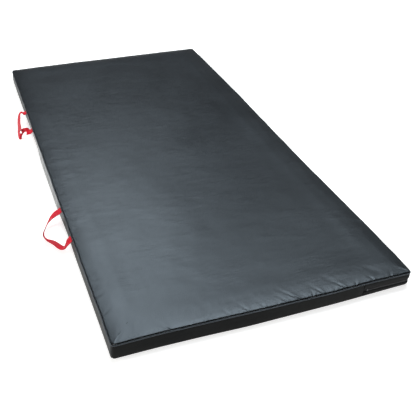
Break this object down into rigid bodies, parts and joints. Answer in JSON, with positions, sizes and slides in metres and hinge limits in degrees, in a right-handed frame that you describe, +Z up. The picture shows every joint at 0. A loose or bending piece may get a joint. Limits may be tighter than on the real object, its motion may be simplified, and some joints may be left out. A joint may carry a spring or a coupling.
{
  "type": "gymnastics mat",
  "caption": "Thick rectangular exercise mat: crowned foam core in a boxed, piped leatherette cover with a side zip and webbing carrying loops on one long side.",
  "frame": {"origin": "centre of the flat underside that lies on the floor", "axes": "+Z up, +Y along the length towards the rear short end, -X towards the long side with the carrying loops"},
  "size_m": [1.0029, 1.831, 0.0529],
  "materials": {
    "satin_leatherette": "satin, fine grain",
    "base_leatherette": "matt",
    "soft_foam": "matt foam",
    "firm_foam": "matt foam",
    "piping_cord": "matt",
    "red_webbing": "woven",
    "zip_tape": "woven",
    "zip_teeth": "matt",
    "zip_metal": "dark nickel"
  },
  "bodies": {
    "mat": {"bottom_panel": "base_leatherette", "foam_lower_layer": "firm_foam", "foam_upper_layer": "soft_foam", "front_handle_tail_front": "red_webbing", "front_handle_tail_rear": "red_webbing", "piping_cord": "piping_cord", "piping_cover": "satin_leatherette", "rear_handle_tail_front": "red_webbing", "rear_handle_tail_rear": "red_webbing", "side_panel_front": "satin_leatherette", "side_panel_left": "satin_leatherette", "side_panel_rear": "satin_leatherette", "top_panel": "satin_leatherette", "zip_bottom_stop": "zip_metal", "zip_end_tab_front": "satin_leatherette", "zip_end_tab_rear": "satin_leatherette", "zip_panel_lower": "satin_leatherette", "zip_panel_upper": "satin_leatherette", "zip_tape_lower": "zip_tape", "zip_tape_upper": "zip_tape", "zip_teeth_lower": "zip_teeth", "zip_teeth_upper": "zip_teeth", "zip_top_stop_lower": "zip_metal", "zip_top_stop_upper": "zip_metal"},
    "front_handle": {"front_handle_loop": "red_webbing"},
    "rear_handle": {"rear_handle_loop": "red_webbing"},
    "slider": {"zip_slider": "zip_metal"},
    "pull": {"zip_pull_tab": "zip_metal"}
  },
  "joints": [
    {"name": "front_handle_swing", "type": "hinge", "parent": "mat", "child": "front_handle", "pos_m": [-0.4591, -0.349, 0.0389], "axis": [0, 1, 0], "range_deg": [0, 95]},
    {"name": "rear_handle_swing", "type": "hinge", "parent": "mat", "child": "rear_handle", "pos_m": [-0.4591, 0.396, 0.0389], "axis": [0, 1, 0], "range_deg": [0, 85]},
    {"name": "zip_slide", "type": "slide", "parent": "mat", "child": "slider", "axis": [0, -1, 0], "range_m": [0, 1.75], "deforming": ["zip_tape_upper", "zip_tape_lower", "zip_teeth_upper", "zip_teeth_lower"]},
    {"name": "zip_pull", "type": "hinge", "parent": "slider", "child": "pull", "pos_m": [0.459, 0.8575, 0.0205], "axis": [0, 0, 1], "range_deg": [0, 180]}
  ]
}
